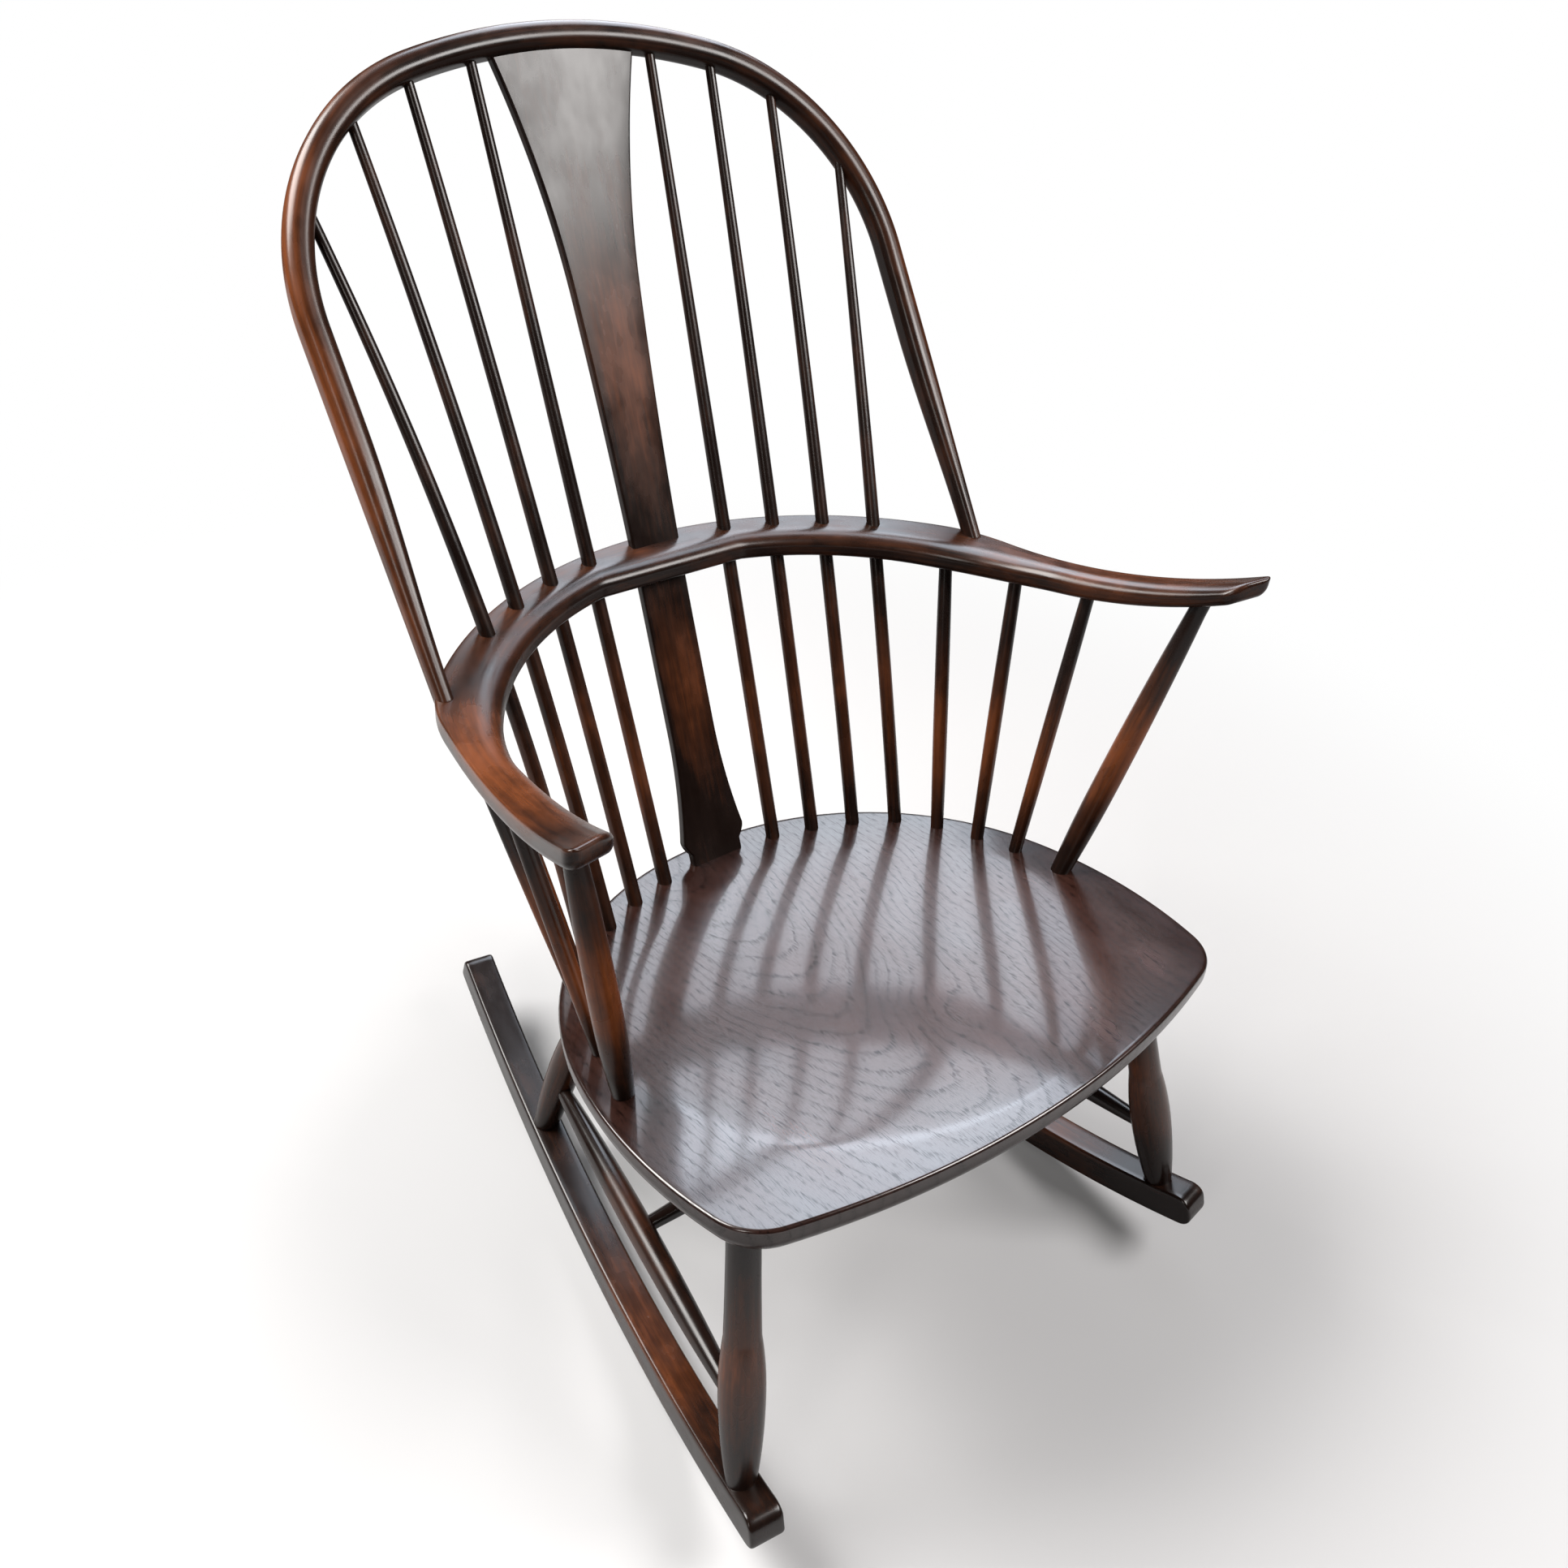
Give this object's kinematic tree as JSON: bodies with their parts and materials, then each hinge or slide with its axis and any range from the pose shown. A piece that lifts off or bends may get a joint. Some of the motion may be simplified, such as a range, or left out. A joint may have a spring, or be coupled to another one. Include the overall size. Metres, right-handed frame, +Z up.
{
  "type": "hoop back rocking chair",
  "caption": "Windsor style wooden rocking chair with a hoop back, a flared splat, a bent arm bow, a shaped seat and curved runners.",
  "frame": {"origin": "middle of the bounding box at floor height, where the rockers rest, on the chair's centre plane", "axes": "+Z up, the chair faces -Y, +X to the right for someone looking at its front"},
  "size_m": [0.6566, 0.7831, 0.954],
  "materials": {
    "seat_board": "dark stained elm under clear lacquer",
    "bent_wood": "dark stained steam-bent beech under clear lacquer",
    "splat_board": "dark stained board under clear lacquer",
    "turned_wood": "dark stained turned beech under clear lacquer",
    "leg_wood": "near-black stained turned beech under clear lacquer",
    "runner_wood": "dark stained beech, worn on top, under clear lacquer"
  },
  "bodies": {
    "root": {"seat": "seat_board", "hoop": "bent_wood", "arm_bow": "bent_wood", "splat": "splat_board", "back_spindle_left_1": "turned_wood", "back_spindle_left_2": "turned_wood", "back_spindle_left_3": "turned_wood", "back_spindle_left_4": "turned_wood", "back_spindle_right_1": "turned_wood", "back_spindle_right_2": "turned_wood", "back_spindle_right_3": "turned_wood", "back_spindle_right_4": "turned_wood", "arm_spindle_left_1": "turned_wood", "arm_spindle_left_2": "turned_wood", "arm_spindle_left_3": "turned_wood", "arm_spindle_right_1": "turned_wood", "arm_spindle_right_2": "turned_wood", "arm_spindle_right_3": "turned_wood", "arm_post_left": "turned_wood", "arm_post_right": "turned_wood", "front_leg_left": "leg_wood", "front_leg_right": "leg_wood", "rear_leg_left": "leg_wood", "rear_leg_right": "leg_wood", "side_stretcher_left": "leg_wood", "side_stretcher_right": "leg_wood", "cross_stretcher": "leg_wood", "rocker_left": "runner_wood", "rocker_right": "runner_wood"}
  },
  "joints": []
}
